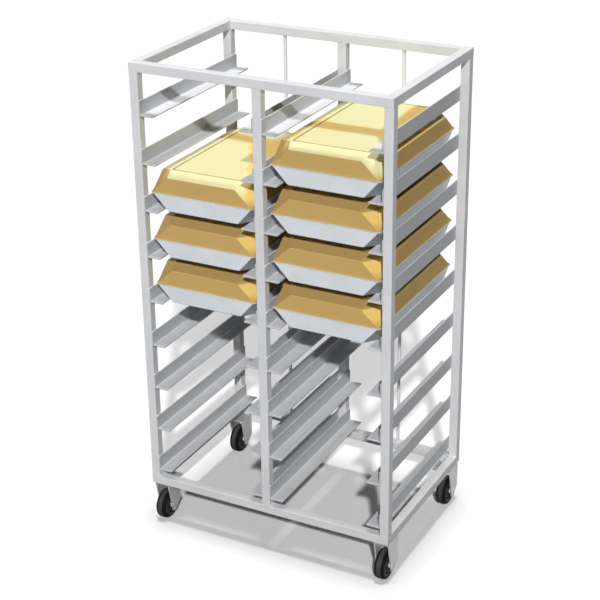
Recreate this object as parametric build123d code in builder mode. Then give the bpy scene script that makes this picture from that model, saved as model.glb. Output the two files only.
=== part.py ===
"""Double-bay tray transport trolley: welded square-tube frame, angle runners, lidded trays, swivel castors.

Millimetres. The origin is on the floor under the middle of the frame, +Z is up, the open side
that the trays are drawn out of faces -Y, and +X is to the right of someone facing that side.
"""
import os
from build123d import *

# Frame
FRAME_WIDTH = 960.0
FRAME_DEPTH = 650.0
FRAME_HEIGHT = 1605.0
TUBE_SIDE = 32.0
TUBE_WALL = 2.0
TUBE_CORNER_RADIUS = 2.0
STOP_ROD_DIAMETER = 12.0

# Tray runners
LEVEL_COUNT = 9
LOWEST_LEDGE_ABOVE_BASE = 66.0
TOP_LEVEL_ROOM = 147.0
LEDGE_WIDTH = 52.0
UPSTAND_HEIGHT = 52.0
ANGLE_THICKNESS = 4.0
ANGLE_ROOT_RADIUS = 4.0

# Castors
CASTOR_HEIGHT = 160.0
CASTOR_SIDE_INSET = 31.0
CASTOR_END_INSET = 49.0
CASTOR_TRAIL = 6.0
PLATE_THICKNESS = 4.0
PLATE_EDGE_INSET = 10.0
PLATE_WIDTH = 58.0
PLATE_LENGTH = 92.0
RACE_DIAMETER = 40.0
RACE_HEIGHT = 2.0
RACE_BEVEL = 1.0
KING_PIN_DIAMETER = 12.0
KING_PIN_HEAD_DIAMETER = 24.0
KING_PIN_HEAD_HEIGHT = 6.0
FORK_WIDTH = 58.0
FORK_THICKNESS = 4.0
FORK_FRONT_REACH = 36.0
FORK_REAR_REACH = 41.0
FORK_END_RADIUS = 14.0
FORK_END_BEHIND_AXLE = 6.0
FORK_END_BELOW_AXLE = 14.0
FORK_HEEL_ABOVE_AXLE = 12.0
FORK_BEND_RADIUS = 3.0
WHEEL_DIAMETER = 110.0
WHEEL_WIDTH = 38.0
TYRE_THICKNESS = 13.0
TYRE_SHOULDER_RADIUS = 8.0
RIM_THICKNESS = 5.0
RIM_INSET = 1.0
WEB_THICKNESS = 8.0
HUB_DIAMETER = 30.0
AXLE_DIAMETER = 10.0
AXLE_HEAD_DIAMETER = 16.0
AXLE_HEAD_HEIGHT = 2.0
BUSH_DIAMETER = 20.0

# Lidded trays
TRAY_LENGTH = 610.0
RIM_FLANGE = 4.0
RIM_CORNER_CUT = 4.0
PAN_DEPTH = 65.0
PAN_WALL = 2.0
PAN_DRAFT = 4.5
PAN_CORNER_ACROSS = 60.0
PAN_CORNER_ALONG = 71.0
LID_EDGE_INSET = 2.0
LID_SHOULDER_HEIGHT = 59.0
LID_BEVEL_HEIGHT = 17.0
LID_BEVEL_ACROSS = 52.0
LID_BEVEL_ALONG = 38.0
LID_CORNER_ACROSS = 64.0
LID_CORNER_ALONG = 75.0
LID_WALL = 2.5
LID_DRAFT = 1.0
SPIGOT_DEPTH = 5.0
SPIGOT_CORNER_CUT = 16.0
LEFT_BAY_TRAY_LEVELS = (3, 4, 5)
RIGHT_BAY_TRAY_LEVELS = (2, 3, 4, 5)

# Clearances
RUNNING_GAP = 0.3
SHAFT_CLEARANCE = 0.05
SPIGOT_CLEARANCE = 1.0
TRAY_STOP_GAP = 0.9
TRAY_SIDE_GAP = 13.0

# Places that follow from the sizes above
base_bottom = CASTOR_HEIGHT
base_top = base_bottom + TUBE_SIDE
frame_top = base_bottom + FRAME_HEIGHT
top_rail_bottom = frame_top - TUBE_SIDE
side_line = (FRAME_WIDTH - TUBE_SIDE) / 2
end_line = (FRAME_DEPTH - TUBE_SIDE) / 2
bay_width = (FRAME_WIDTH - 3 * TUBE_SIDE) / 2
bay_centre = (TUBE_SIDE + bay_width) / 2
lowest_ledge = base_bottom + LOWEST_LEDGE_ABOVE_BASE
highest_ledge = top_rail_bottom - TOP_LEVEL_ROOM
level_pitch = (highest_ledge - lowest_ledge) / (LEVEL_COUNT - 1)
axle_height = WHEEL_DIAMETER / 2
plate_bottom = base_bottom - PLATE_THICKNESS
crown_top = plate_bottom - RACE_HEIGHT - RUNNING_GAP
crown_bottom = crown_top - FORK_THICKNESS
fork_inner_half = FORK_WIDTH / 2 - FORK_THICKNESS
tray_rear = end_line - STOP_ROD_DIAMETER / 2 - TRAY_STOP_GAP
tray_middle = tray_rear - TRAY_LENGTH / 2
tray_width = bay_width - 2 * (ANGLE_THICKNESS + TRAY_SIDE_GAP)
mouth_width = tray_width - 2 * RIM_FLANGE
mouth_length = TRAY_LENGTH - 2 * RIM_FLANGE
castor_x = FRAME_WIDTH / 2 - CASTOR_SIDE_INSET
castor_y = FRAME_DEPTH / 2 - CASTOR_END_INSET
castor_places = {
    "front_left": (-castor_x, -castor_y),
    "front_right": (castor_x, -castor_y),
    "rear_left": (-castor_x, castor_y),
    "rear_right": (castor_x, castor_y),
}
bays = {
    "left": (-bay_centre, LEFT_BAY_TRAY_LEVELS),
    "right": (bay_centre, RIGHT_BAY_TRAY_LEVELS),
}


def ledge_height(level: int) -> float:
    """Height of the ledges' upper faces at a level, where level 1 is the highest."""
    return lowest_ledge + (LEVEL_COUNT - level) * level_pitch


def save(piece: BuildPart, label: str) -> None:
    """Name a finished piece and write its file."""
    piece.part.label = label
    export_step(piece.part, f"parts/{label}.step")


def tube_section() -> None:
    """Draw the hollow section of the frame's square tube in the open sketch."""
    inner_side = TUBE_SIDE - 2 * TUBE_WALL
    RectangleRounded(TUBE_SIDE, TUBE_SIDE, TUBE_CORNER_RADIUS)
    Rectangle(inner_side, inner_side, mode=Mode.SUBTRACT)


def make_post(label: str, x: float, y: float) -> None:
    """Upright tube between the base ring and the top ring."""
    with BuildPart() as post:
        with BuildSketch(Plane((x, y, base_top))):
            tube_section()
        extrude(amount=top_rail_bottom - base_top)
    save(post, label)


def make_rail(label: str, along: Vector, outward: Vector, height: float) -> None:
    """Rail of a ring, mitred at both ends, with its lower face at a height."""
    length = FRAME_WIDTH * abs(along.X) + FRAME_DEPTH * abs(along.Y)
    reach = (FRAME_WIDTH * abs(outward.X) + FRAME_DEPTH * abs(outward.Y)) / 2
    outer_middle = outward * reach + Vector(0, 0, height + TUBE_SIDE / 2)
    with BuildPart() as rail:
        with BuildSketch(Plane(outer_middle - outward * (TUBE_SIDE / 2), x_dir=outward, z_dir=along)):
            tube_section()
        extrude(amount=length / 2, both=True)
        for end in (-1, 1):
            corner = outer_middle + along * (end * length / 2)
            split(bisect_by=Plane(corner, z_dir=outward - along * end), keep=Keep.TOP)
    save(rail, label)


def make_stop_rod(label: str, x: float) -> None:
    """Upright round rod at the back of a bay that stops the trays."""
    with BuildPart() as rod:
        with BuildSketch(Plane((x, end_line, base_top))):
            Circle(STOP_ROD_DIAMETER / 2)
        extrude(amount=top_rail_bottom - base_top)
    save(rod, label)


def make_runners(label: str, post_face: float, inward: int) -> None:
    """Column of angle runners: upstands against the post face, ledges pointing inward (+1 or -1 along X)."""
    root_x = post_face + inward * ANGLE_THICKNESS
    toe_x = post_face + inward * LEDGE_WIDTH
    with BuildPart() as runners:
        with BuildSketch(Plane.XZ.offset(-FRAME_DEPTH / 2)) as section:
            for level in range(1, LEVEL_COUNT + 1):
                ledge = ledge_height(level)
                underside = ledge - ANGLE_THICKNESS
                upstand_top = underside + UPSTAND_HEIGHT
                Polygon(
                    (post_face, underside),
                    (toe_x, underside),
                    (toe_x, ledge),
                    (root_x, ledge),
                    (root_x, upstand_top),
                    (post_face, upstand_top),
                    align=None,
                )
            heights = section.vertices().group_by(Axis.X)[1].group_by(Axis.Y)
            fillet([root for pair in heights[::2] for root in pair], radius=ANGLE_ROOT_RADIUS)
        extrude(amount=FRAME_DEPTH)
    save(runners, label)


def make_castor_plates() -> None:
    """Flat plates under the corners of the base ring, bored for the king pins."""
    plate_x = FRAME_WIDTH / 2 - PLATE_EDGE_INSET - PLATE_WIDTH / 2
    plate_y = FRAME_DEPTH / 2 - PLATE_EDGE_INSET - PLATE_LENGTH / 2
    with BuildPart() as plates:
        with BuildSketch(Plane.XY.offset(plate_bottom)):
            with GridLocations(2 * plate_x, 2 * plate_y, 2, 2):
                Rectangle(PLATE_WIDTH, PLATE_LENGTH)
            with Locations(*castor_places.values()):
                Circle(KING_PIN_DIAMETER / 2, mode=Mode.SUBTRACT)
        extrude(amount=PLATE_THICKNESS)
    save(plates, "castor_plates")


def make_swivel_races() -> None:
    """Bevelled bearing housings between the plates and the forks."""
    with BuildPart() as races:
        with BuildSketch(Plane.XY.offset(plate_bottom - RACE_HEIGHT)):
            with Locations(*castor_places.values()):
                Circle(RACE_DIAMETER / 2)
                Circle(KING_PIN_DIAMETER / 2, mode=Mode.SUBTRACT)
        extrude(amount=RACE_HEIGHT)
        lower_edges = races.edges().group_by(Axis.Z)[0]
        chamfer(lower_edges.group_by(SortBy.RADIUS)[-1], length=RACE_BEVEL)
    save(races, "swivel_races")


def make_king_pins() -> None:
    """Headed pins that hold the forks up and that the forks turn on."""
    head_top = crown_bottom - RUNNING_GAP
    with BuildPart() as pins:
        with BuildSketch(Plane.XY.offset(head_top)):
            with Locations(*castor_places.values()):
                Circle(KING_PIN_DIAMETER / 2)
        extrude(amount=base_bottom - head_top)
        with BuildSketch(Plane.XY.offset(head_top)):
            with Locations(*castor_places.values()):
                RegularPolygon(KING_PIN_HEAD_DIAMETER / 2, 6)
        extrude(amount=-KING_PIN_HEAD_HEIGHT)
    save(pins, "king_pins")


def axle_plane(x: float, y: float) -> Plane:
    """Plane across a castor's axle: its normal is +X and its origin is on the axle, mid-wheel."""
    return Plane((x, y - CASTOR_TRAIL, axle_height), x_dir=(0, 1, 0), z_dir=(1, 0, 0))


def make_fork(label: str, x: float, y: float) -> None:
    """Bent plate: a crown bored for the king pin and two tapered legs bored for the axle.

    A leg's rear edge drops straight from the crown to its heel and then slants in to the rounded end.
    """
    crown_length = FORK_FRONT_REACH + FORK_REAR_REACH
    crown_middle = (FORK_REAR_REACH - FORK_FRONT_REACH) / 2
    crown_above_axle = (crown_top + crown_bottom) / 2 - axle_height
    heel_behind_axle = CASTOR_TRAIL + FORK_REAR_REACH - FORK_END_RADIUS
    rounded_ends = ((FORK_END_BEHIND_AXLE, -FORK_END_BELOW_AXLE), (heel_behind_axle, FORK_HEEL_ABOVE_AXLE))
    with BuildPart() as fork:
        with BuildSketch(Plane((x, y + crown_middle, crown_bottom))):
            Rectangle(FORK_WIDTH, crown_length)
        extrude(amount=FORK_THICKNESS)
        for side in (-1, 1):
            with BuildSketch(axle_plane(x, y).offset(side * fork_inner_half)):
                with Locations((CASTOR_TRAIL + crown_middle, crown_above_axle)):
                    Rectangle(crown_length, FORK_THICKNESS)
                with Locations(*rounded_ends):
                    Circle(FORK_END_RADIUS)
                make_hull()
                Circle(AXLE_DIAMETER / 2, mode=Mode.SUBTRACT)
            extrude(amount=side * FORK_THICKNESS)
        fillet(fork.edges().filter_by(Axis.Y).group_by(Axis.Z)[-1], radius=FORK_BEND_RADIUS)
        with BuildSketch(Plane((x, y, crown_bottom))):
            Circle(KING_PIN_DIAMETER / 2 + SHAFT_CLEARANCE)
        extrude(amount=FORK_THICKNESS, mode=Mode.SUBTRACT)
    save(fork, label)


def make_axle(label: str, x: float, y: float) -> None:
    """Riveted axle with a flat head against each leg of the fork."""
    with BuildPart() as axle:
        with BuildSketch(axle_plane(x, y)):
            Circle(AXLE_DIAMETER / 2)
        extrude(amount=FORK_WIDTH / 2, both=True)
        for side in (-1, 1):
            with BuildSketch(axle_plane(x, y).offset(side * FORK_WIDTH / 2)):
                Circle(AXLE_HEAD_DIAMETER / 2)
            extrude(amount=side * AXLE_HEAD_HEIGHT)
    save(axle, label)


def make_bushes(label: str, x: float, y: float) -> None:
    """Pair of spacer bushes on the axle, between the fork's legs and the wheel."""
    with BuildPart() as bushes:
        for side in (-1, 1):
            with BuildSketch(axle_plane(x, y).offset(side * fork_inner_half)):
                Circle(BUSH_DIAMETER / 2)
                Circle(AXLE_DIAMETER / 2, mode=Mode.SUBTRACT)
            extrude(amount=side * (WHEEL_WIDTH / 2 + RUNNING_GAP - fork_inner_half))
    save(bushes, label)


def make_wheel(label: str, x: float, y: float) -> None:
    """Wheel centre: a hub that turns on the axle, a thin web and the rim under the tyre."""
    rim_radius = WHEEL_DIAMETER / 2 - TYRE_THICKNESS
    bore_radius = AXLE_DIAMETER / 2 + SHAFT_CLEARANCE
    rings = (
        (HUB_DIAMETER / 2, bore_radius, WHEEL_WIDTH / 2),
        (rim_radius, bore_radius, WEB_THICKNESS / 2),
        (rim_radius, rim_radius - RIM_THICKNESS, WHEEL_WIDTH / 2 - RIM_INSET),
    )
    with BuildPart() as wheel:
        for outer, inner, half_width in rings:
            with BuildSketch(axle_plane(x, y)):
                Circle(outer)
                Circle(inner, mode=Mode.SUBTRACT)
            extrude(amount=half_width, both=True)
    save(wheel, label)


def make_tyre(label: str, x: float, y: float) -> None:
    """Solid tyre with rounded shoulders, bonded to the rim."""
    radius = WHEEL_DIAMETER / 2
    with BuildPart() as tyre:
        with BuildSketch(axle_plane(x, y)):
            Circle(radius)
            Circle(radius - TYRE_THICKNESS, mode=Mode.SUBTRACT)
        extrude(amount=WHEEL_WIDTH / 2, both=True)
        circles = tyre.edges().filter_by(GeomType.CIRCLE)
        fillet(circles.group_by(SortBy.RADIUS)[-1], radius=TYRE_SHOULDER_RADIUS)
    save(tyre, label)


def cut_corner_outline(width: float, length: float, cut: float, mode: Mode = Mode.ADD) -> None:
    """Draw a rectangle with its four corners cut off at 45 degrees."""
    half_width = width / 2
    half_length = length / 2
    Polygon(
        (half_width - cut, -half_length),
        (half_width, cut - half_length),
        (half_width, half_length - cut),
        (half_width - cut, half_length),
        (cut - half_width, half_length),
        (-half_width, half_length - cut),
        (-half_width, cut - half_length),
        (cut - half_width, -half_length),
        align=None,
        mode=mode,
    )


def slant_walls(middle: Vector, width: float, length: float, run: Vector) -> None:
    """Slant the four walls of a tray from the level of middle on.

    At the height run.Z from that level they have moved in by run.X across and by run.Y along the tray.
    """
    rise = abs(run.Z)
    facing = run.Z / rise
    for way in (-1, 1):
        side_edge = middle + Vector(way * width / 2, 0, 0)
        end_edge = middle + Vector(0, way * length / 2, 0)
        split(bisect_by=Plane(side_edge, z_dir=(way * rise, 0, facing * run.X)), keep=Keep.BOTTOM)
        split(bisect_by=Plane(end_edge, z_dir=(0, way * rise, facing * run.Y)), keep=Keep.BOTTOM)


def slant_corners(middle: Vector, width: float, length: float, run: Vector) -> None:
    """Cut off the four corners of a tray by slanting faces that start just inside its rim's corners.

    At the height run.Z from the rim a face has moved in by run.X across or by run.Y along the tray.
    """
    rise = abs(run.Z)
    facing = run.Z / rise
    for side in (-1, 1):
        for end in (-1, 1):
            corner = middle + Vector(side * (width / 2 - RIM_CORNER_CUT), end * length / 2, 0)
            normal = (side * run.Y * rise, end * run.X * rise, facing * run.X * run.Y)
            split(bisect_by=Plane(corner, z_dir=normal), keep=Keep.BOTTOM)


def make_pan(label: str, x: float, ledge: float) -> None:
    """Open pan whose corners slant in towards its floor, with a flat rim round its mouth."""
    floor = Vector(x, tray_middle, ledge + RUNNING_GAP)
    rim_top = floor + Vector(0, 0, PAN_DEPTH)
    wall_run = Vector(PAN_DRAFT, PAN_DRAFT, -PAN_DEPTH)
    corner_run = Vector(PAN_CORNER_ACROSS, PAN_CORNER_ALONG, -PAN_DEPTH)
    with BuildPart() as pan:
        with BuildSketch(Plane(floor)):
            Rectangle(mouth_width, mouth_length)
        extrude(amount=PAN_DEPTH)
        slant_walls(rim_top, mouth_width, mouth_length, wall_run)
        slant_corners(rim_top, mouth_width, mouth_length, corner_run)
        offset(amount=-PAN_WALL, openings=pan.faces().sort_by(Axis.Z)[-1])
        with BuildSketch(Plane(rim_top)):
            cut_corner_outline(tray_width, TRAY_LENGTH, RIM_CORNER_CUT)
            cut_corner_outline(mouth_width - PAN_WALL, mouth_length - PAN_WALL, RIM_CORNER_CUT, Mode.SUBTRACT)
        extrude(amount=-PAN_WALL)
    save(pan, label)


def make_lid(label: str, x: float, ledge: float) -> None:
    """Deep lid with slanting corners and a bevelled top, located in the pan's mouth by a shallow spigot."""
    seat = Vector(x, tray_middle, ledge + PAN_DEPTH + 2 * RUNNING_GAP)
    shoulder = seat + Vector(0, 0, LID_SHOULDER_HEIGHT)
    width = tray_width - 2 * LID_EDGE_INSET
    length = TRAY_LENGTH - 2 * LID_EDGE_INSET
    spigot_width = mouth_width - 2 * PAN_WALL - 2 * SPIGOT_CLEARANCE
    spigot_length = mouth_length - 2 * PAN_WALL - 2 * SPIGOT_CLEARANCE
    hollow_width = spigot_width - 2 * LID_WALL
    hollow_length = spigot_length - 2 * LID_WALL
    wall_run = Vector(LID_DRAFT, LID_DRAFT, LID_SHOULDER_HEIGHT)
    bevel_run = Vector(LID_BEVEL_ACROSS, LID_BEVEL_ALONG, LID_BEVEL_HEIGHT)
    corner_run = Vector(LID_CORNER_ACROSS, LID_CORNER_ALONG, LID_SHOULDER_HEIGHT)
    with BuildPart() as lid:
        with BuildSketch(Plane(seat)):
            Rectangle(width, length)
        extrude(amount=LID_SHOULDER_HEIGHT + LID_BEVEL_HEIGHT)
        slant_walls(seat, width, length, wall_run)
        slant_walls(shoulder, width - 2 * LID_DRAFT, length - 2 * LID_DRAFT, bevel_run)
        slant_corners(seat, width, length, corner_run)
        offset(amount=-LID_WALL, openings=lid.faces().sort_by(Axis.Z)[0])
        with BuildSketch(Plane(seat)):
            cut_corner_outline(width - LID_WALL, length - LID_WALL, RIM_CORNER_CUT)
            cut_corner_outline(hollow_width, hollow_length, SPIGOT_CORNER_CUT, Mode.SUBTRACT)
        extrude(amount=LID_WALL)
        with BuildSketch(Plane(seat)):
            cut_corner_outline(spigot_width, spigot_length, SPIGOT_CORNER_CUT)
            cut_corner_outline(hollow_width, hollow_length, SPIGOT_CORNER_CUT, Mode.SUBTRACT)
        extrude(amount=-SPIGOT_DEPTH)
    save(lid, label)


os.makedirs("parts", exist_ok=True)

for row, y in (("front", -end_line), ("rear", end_line)):
    for column, x in (("left", -side_line), ("middle", 0.0), ("right", side_line)):
        make_post(f"post_{row}_{column}", x, y)

for ring, height in (("top", top_rail_bottom), ("base", base_bottom)):
    make_rail(f"{ring}_rail_front", Vector(1, 0, 0), Vector(0, -1, 0), height)
    make_rail(f"{ring}_rail_rear", Vector(1, 0, 0), Vector(0, 1, 0), height)
    make_rail(f"{ring}_rail_left", Vector(0, 1, 0), Vector(-1, 0, 0), height)
    make_rail(f"{ring}_rail_right", Vector(0, 1, 0), Vector(1, 0, 0), height)

for bay, (x, levels) in bays.items():
    make_stop_rod(f"stop_rod_{bay}", x)
    make_runners(f"runners_{bay}_bay_left", x - bay_width / 2, 1)
    make_runners(f"runners_{bay}_bay_right", x + bay_width / 2, -1)
    for level in levels:
        make_pan(f"pan_{bay}_{level}", x, ledge_height(level))
        make_lid(f"lid_{bay}_{level}", x, ledge_height(level))

make_castor_plates()
make_swivel_races()
make_king_pins()
for corner, (x, y) in castor_places.items():
    make_fork(f"castor_fork_{corner}", x, y)
    make_axle(f"castor_axle_{corner}", x, y)
    make_bushes(f"castor_bushes_{corner}", x, y)
    make_wheel(f"castor_wheel_{corner}", x, y)
    make_tyre(f"castor_tyre_{corner}", x, y)
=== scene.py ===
"""Looks of the tray transport trolley: paint, welds, pans, lids, castors, studio and camera.

Metres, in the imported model's frame: the floor is z = 0, +Z is up and the trays are drawn out towards -Y.
"""

import logging
import math
from abc import ABC, abstractmethod
from collections.abc import Callable
from dataclasses import dataclass, field
from enum import Enum
from functools import partial
from typing import NamedTuple

import bpy
import numpy as np
from bpy.types import Material, Node, NodeSocket, NodeTree, Object
from mathutils import Matrix, Vector


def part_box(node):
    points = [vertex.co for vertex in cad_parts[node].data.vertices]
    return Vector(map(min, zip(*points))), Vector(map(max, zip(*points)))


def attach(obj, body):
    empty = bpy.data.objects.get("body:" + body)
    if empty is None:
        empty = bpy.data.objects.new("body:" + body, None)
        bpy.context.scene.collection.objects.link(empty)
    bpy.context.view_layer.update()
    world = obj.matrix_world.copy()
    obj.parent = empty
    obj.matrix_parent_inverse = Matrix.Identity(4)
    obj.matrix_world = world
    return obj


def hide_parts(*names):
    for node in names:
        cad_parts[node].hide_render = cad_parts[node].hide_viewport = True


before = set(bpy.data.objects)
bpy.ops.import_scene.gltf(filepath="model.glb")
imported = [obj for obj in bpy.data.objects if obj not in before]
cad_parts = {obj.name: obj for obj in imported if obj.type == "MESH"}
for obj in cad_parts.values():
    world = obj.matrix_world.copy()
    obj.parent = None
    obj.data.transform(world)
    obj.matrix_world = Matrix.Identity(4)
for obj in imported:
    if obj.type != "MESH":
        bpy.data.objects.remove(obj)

LOG = logging.getLogger("tray_trolley")
MM = 0.001
WHITE = "#FFFFFF"
RGBA = {"data_type": "RGBA"}
SMOOTH = {"interpolation_type": "SMOOTHSTEP"}
# A corner's rounding takes at most this share of a run, and its outer points lie this many times as far out.
LARGEST_SHARE = 0.39
OUTER_REACH = 1.25
SHORTEST_RUN = 1e-9

Add = Callable[..., Node]
Inputs = dict[str | int, object]
Pair = tuple[float, float]
Point = tuple[float, float, float]


class Side(Enum):
    """Left or right, seen from the open side: a bay of trays, or the side of a bay."""

    LEFT = "left"
    RIGHT = "right"


class Corner(Enum):
    """The four castors' places."""

    FRONT_LEFT = "front_left"
    FRONT_RIGHT = "front_right"
    REAR_LEFT = "rear_left"
    REAR_RIGHT = "rear_right"


class Shelter(Enum):
    """Whether a lid is the uppermost of its column or has a tray over it, which decides its painted light and
    shade.
    """

    OPEN = "open"
    COVERED = "covered"


class Coated(Enum):
    """Where a powder-coated tube or angle sits, which decides what its coat has been through."""

    UPRIGHT = "upright"
    RING = "ring"
    RUNNER = "runner"


def linear(hex_colour: str) -> tuple[float, ...]:
    """Turn an sRGB hex colour into the linear colour that shaders take.

    Args:
        hex_colour: A hash sign and six hexadecimal digits.

    Returns:
        Linear red, green and blue, and an alpha of one.
    """
    channels = np.array([int(hex_colour[i:i + 2], 16) for i in (1, 3, 5)]) / 255
    straight = np.where(channels <= 0.04045, channels / 12.92, ((channels + 0.055) / 1.055) ** 2.4)
    return (*straight.tolist(), 1.0)


def put(tree: NodeTree, kind: str, inputs: Inputs | None = None, **settings: object) -> Node:
    """Add one node with its settings and links.

    Args:
        tree: The node tree that gets the node.
        kind: Blender's name of the node's type, without the ShaderNode that it starts with.
        inputs: Its input sockets by name or number, each with a value, a hex colour, an output socket to
            link, or a node whose first output in use is linked.
        settings: The node's own properties.

    Returns:
        The new node.
    """
    node = tree.nodes.new(f"ShaderNode{kind}")
    for name, value in settings.items():
        setattr(node, name, value)
    for name, value in (inputs or {}).items():
        if isinstance(value, Node):
            value = next(socket for socket in value.outputs if socket.enabled)
        if isinstance(value, NodeSocket):
            tree.links.new(value, node.inputs[name])
        else:
            node.inputs[name].default_value = linear(value) if isinstance(value, str) else value
    return node


def seen_rays(add: Add) -> Node:
    """Add the test that is one for camera, glossy and transmission rays and zero for the rest.

    Args:
        add: Puts a node into the floor's paint or the world.

    Returns:
        The node whose value is the test.
    """
    path = add("LightPath").outputs
    direct = add("Math", {0: path["Is Camera Ray"], 1: path["Is Glossy Ray"]}, operation="MAXIMUM")
    return add("Math", {0: direct, 1: path["Is Transmission Ray"]}, operation="MAXIMUM")


class Look(NamedTuple):
    """A finish's own nodes: its colour, what dulls it, what stands up on it and what makes it glow."""

    colour: Node
    dulling: Node
    relief: Node | None = None
    glow: Node | None = None


@dataclass(frozen=True, kw_only=True)
class Finish(ABC):
    """A material whose nodes read Object coordinates and end in one surface shader.

    As the dulling runs over its span, the roughness runs over its own. The relief's height is in metres.
    """

    name: str
    roughness: Pair
    dulling_span: Pair = (0.3, 0.7)
    relief_height: float = 0.0003
    relief_strength: float = 0.1
    metallic: float = 0.0
    ior: float = 1.5
    specular: float = 0.5

    @abstractmethod
    def surface(self, add: Add, place: NodeSocket) -> Look:
        """Add the finish's own nodes.

        Args:
            add: Puts a node into the material.
            place: Object coordinates.

        Returns:
            The nodes that the shader takes up.
        """

    def material(self) -> Material:
        """Build the node material.

        Returns:
            The material, named as the finish is.
        """
        material = bpy.data.materials.new(self.name)
        material.use_nodes = True
        material.node_tree.nodes.clear()
        add = partial(put, material.node_tree)
        look = self.surface(add, add("TexCoord").outputs["Object"])
        (clear, dull), (smooth, rough) = self.dulling_span, self.roughness
        gloss = add("MapRange", {
            "Value": look.dulling, "From Min": clear, "From Max": dull, "To Min": smooth, "To Max": rough})
        inputs = {"Base Color": look.colour, "Roughness": gloss, "Metallic": self.metallic, "IOR": self.ior,
                  "Specular IOR Level": self.specular}
        if look.relief is not None:
            inputs["Normal"] = add("Bump", {
                "Strength": self.relief_strength, "Distance": self.relief_height, "Height": look.relief})
        if look.glow is not None:
            inputs |= {"Emission Color": WHITE, "Emission Strength": look.glow}
        add("OutputMaterial", {"Surface": add("BsdfPrincipled", inputs)})
        return material


@dataclass(frozen=True, kw_only=True)
class PowderCoat(Finish):
    """Baked polyester powder coat on mild steel tube and angle.

    The eye sees a satin, almost white grey skin with a faint orange peel, duller clouds where hands and
    cloths have been, a little dust low down, on the runners the marks of trays that slide along them, and a
    painted shade on the runners' upright faces.
    """

    where: Coated
    roughness: Pair = (0.38, 0.52)
    relief_height: float = 0.0004
    relief_strength: float = 0.12
    specular: float = 0.1
    colour: str = "#E9EAEC"
    dull: str = "#E0E1E4"
    dust: str = "#C9C4BA"
    scuff: str = "#A3A6AA"
    rubbed: str = "#B9BCC1"
    # The colour of the painted shade on the runners' upright faces.
    film: str = "#C6C8CB"
    seam: str = "#9B9DA1"
    cloud_mm: float = 180.0
    scuff_mm: float = 14.0
    # Orange peel is about 1 mm across, too fine to show, so it is drawn at 5 mm.
    peel_mm: float = 5.0
    streak_mm: float = 5.5556
    streak_length_mm: float = 285.71
    # In metres: how high dust lies, and the rings' mitres, where |x| - |y| is within seam_reach of half the
    # rings' width less half their depth.
    dust_height: float = 0.55
    mitre_offset: float = 0.155
    seam_reach: float = 0.0011

    def surface(self, add: Add, place: NodeSocket) -> Look:
        """Lay clouds, dust, scuffs and the wear of the piece's own place over the coat.

        Args:
            add: Puts a node into the material.
            place: Object coordinates.

        Returns:
            The nodes that the shader takes up.
        """
        apart = add("SeparateXYZ", {"Vector": place}).outputs
        cloud = add("TexNoise", {
            "Vector": place, "Scale": 1 / (self.cloud_mm * MM), "Detail": 4.0, "Roughness": 0.6})
        cloudy = add("MapRange", {"Value": cloud, "From Min": 0.35, "From Max": 0.68})
        coat = add("Mix", {0: cloudy, 6: self.colour, 7: self.dull}, **RGBA)
        low = add("MapRange", {
            "Value": apart["Z"], "From Min": self.dust_height, "From Max": 0.1, "To Max": 0.25}, **SMOOTH)
        dusty = add("Math", {0: low, 1: cloud}, operation="MULTIPLY")
        coat = add("Mix", {0: dusty, 6: coat, 7: self.dust}, **RGBA)
        speck = add("TexNoise", {
            "Vector": place, "Scale": 1 / (self.scuff_mm * MM), "Detail": 2.0, "Distortion": 0.8})
        specked = add("MapRange", {"Value": speck, "From Min": 0.74, "From Max": 0.82, "To Max": 0.4})
        coat = add("Mix", {0: specked, 6: coat, 7: self.scuff}, **RGBA)
        if self.where is Coated.RUNNER:
            coat = self._upright_shade_and_rub_marks(add, place, coat)
        elif self.where is Coated.RING:
            # Mitres: the ground welds show as fine lines.
            across = add("Math", {0: apart["X"]}, operation="ABSOLUTE")
            deep = add("Math", {0: apart["Y"]}, operation="ABSOLUTE")
            offset = add("Math", {0: across, 1: deep}, operation="SUBTRACT")
            on_line = add("Math", {0: offset, 1: self.mitre_offset, 2: self.seam_reach}, operation="COMPARE")
            faint = add("Math", {0: on_line, 1: 0.55}, operation="MULTIPLY")
            coat = add("Mix", {0: faint, 6: coat, 7: self.seam}, **RGBA)
        peel = add("TexNoise", {"Vector": place, "Scale": 1 / (self.peel_mm * MM), "Detail": 1.0})
        return Look(coat, cloud, peel)

    def _upright_shade_and_rub_marks(self, add: Add, place: NodeSocket, coat: Node) -> Node:
        """Lay painted shade on the upright faces and the marks of sliding trays on the runners' coat.

        Args:
            add: Puts a node into the material.
            place: Object coordinates.
            coat: The node that carries the colour so far.

        Returns:
            The node that carries the shaded and worn colour.
        """
        normal = add("NewGeometry").outputs["Normal"]
        facing_up = add("SeparateXYZ", {"Vector": normal}).outputs["Z"]
        # Painted shade: the upright faces are greyer.
        upright = add("MapRange", {"Value": facing_up, "From Min": 0.8, "From Max": 0.4, "To Max": 0.9})
        filmed = add("Mix", {0: upright, 6: coat, 7: self.film}, **RGBA)
        # Rub marks: long streaks along Y on the faces that look up.
        across, along = 1 / (self.streak_mm * MM), 1 / (self.streak_length_mm * MM)
        drawn_out = add("Mapping", {"Vector": place, "Scale": (across, along, across)})
        streak = add("TexNoise", {"Vector": drawn_out, "Scale": 1.0, "Detail": 3.0})
        marked = add("MapRange", {"Value": streak, "From Min": 0.54, "From Max": 0.7, "To Max": 0.35})
        upward = add("Math", {0: facing_up, 1: 0.8}, operation="GREATER_THAN")
        marks = add("Math", {0: marked, 1: upward}, operation="MULTIPLY")
        return add("Mix", {0: marks, 6: filmed, 7: self.rubbed}, **RGBA)


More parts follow.
